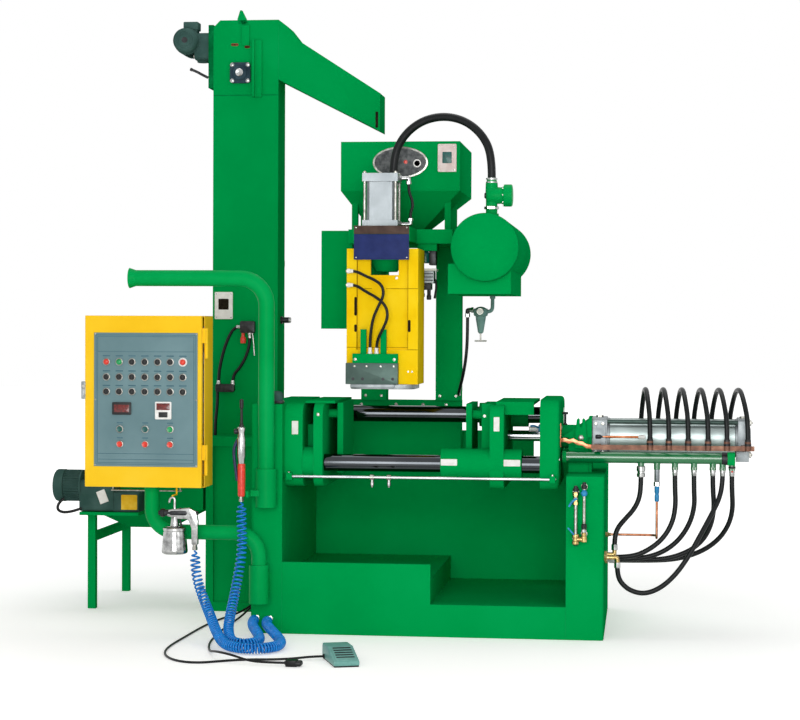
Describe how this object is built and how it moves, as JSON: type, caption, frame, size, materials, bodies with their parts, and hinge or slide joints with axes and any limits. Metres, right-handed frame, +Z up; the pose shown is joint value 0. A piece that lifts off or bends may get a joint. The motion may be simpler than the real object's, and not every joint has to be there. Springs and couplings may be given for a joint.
{
  "type": "core making machine",
  "caption": "Hot-box core shooting machine on a welded base, with tie-bar clamp, shooting head, sand hopper, bucket elevator, feeder, control box on an arm and swivel boom.",
  "frame": {"origin": "on the floor, under the middle of the machine's outline (loose hoses and cables left out)", "axes": "+X along the clamp towards the clamp cylinder, +Y from the operator's side to the back, +Z up"},
  "size_m": [2.974, 2.026, 2.635],
  "materials": {
    "green_paint": "gloss machine enamel on fabricated steel",
    "bar_steel": "ground and hard-chromed bar",
    "grey_aluminium": "anodised and cast aluminium",
    "brown_rail": "oxidised flat bar",
    "brass": "turned brass hose tails and copper tube",
    "sign_enamel": "dark blue enamel plate, bare",
    "valve_grey": "valve bodies and plastic trim",
    "yellow_paint": "gloss yellow enamel",
    "tool_steel": "machined steel",
    "motor_green": "dark grey-green motor paint",
    "panel_grey": "grey panel sheet with switches",
    "hose_rubber": "black rubber hose",
    "coil_blue": "blue polyurethane spiral hose",
    "pedal_teal": "moulded pedal housing"
  },
  "bodies": {
    "machine": {"left_pedestal": "green_paint", "right_pedestal": "green_paint", "front_sill": "green_paint", "sand_tray": "green_paint", "rear_box": "green_paint", "left_end_plate": "green_paint", "fixed_platen": "green_paint", "fixed_heat_plate": "green_paint", "right_end_plate": "green_paint", "cylinder_mount": "green_paint", "manifolds": "green_paint", "columns": "green_paint", "top_beam": "green_paint", "side_box": "green_paint", "sand_hopper": "green_paint", "tank_shell": "green_paint", "tank_ends": "green_paint", "tank_saddle": "green_paint", "tank_valve": "green_paint", "elevator_casing": "green_paint", "elevator_chute": "green_paint", "feeder_hopper": "green_paint", "arm_pipe": "green_paint", "pipe_sockets": "green_paint", "tie_bars": "bar_steel", "cylinder_heads": "grey_aluminium", "cylinder_barrel": "grey_aluminium", "press_cylinder": "grey_aluminium", "air_fittings": "grey_aluminium", "hose_rail": "brown_rail", "base_fittings": "brass", "sign_plate": "sign_enamel", "shoot_valves": "valve_grey", "hopper_fittings": "valve_grey", "control_box": "yellow_paint", "elevator_fittings": "tool_steel", "post_fittings": "tool_steel", "clamp_fittings": "tool_steel", "guns": "tool_steel", "elevator_motor": "motor_green", "feeder_drive": "motor_green", "tank_hoses": "hose_rubber", "elevator_hoses": "hose_rubber", "clamp_hoses": "hose_rubber", "floor_cables": "hose_rubber", "cable_plug": "hose_rubber", "gun_coils": "coil_blue", "foot_pedal": "pedal_teal"},
    "moving_clamp": {"moving_platen": "green_paint", "moving_heat_plate": "green_paint", "piston_rod": "bar_steel"},
    "shooting_head": {"head_frame": "yellow_paint", "sand_funnel": "green_paint", "blow_plates": "tool_steel", "clamp_bracket": "green_paint", "press_rod": "bar_steel", "head_hoses": "hose_rubber"},
    "boom": {"boom_pipe": "green_paint"},
    "panel_door": {"box_door": "yellow_paint", "door_panel": "panel_grey"}
  },
  "joints": [
    {"name": "clamp_slide", "type": "slide", "parent": "machine", "child": "moving_clamp", "axis": [-1, 0, 0], "range_m": [0, 0.28]},
    {"name": "head_lift", "type": "slide", "parent": "machine", "child": "shooting_head", "axis": [0, 0, -1], "range_m": [0, 0.04]},
    {"name": "boom_swivel", "type": "hinge", "parent": "machine", "child": "boom", "pos_m": [-0.457, -0.5363, 1.432], "axis": [0, 0, 1], "range_deg": [0, 90]},
    {"name": "door_hinge", "type": "hinge", "parent": "machine", "child": "panel_door", "pos_m": [-0.678, -0.649, 0.598], "axis": [0, 0, 1], "range_deg": [0, 105]}
  ]
}
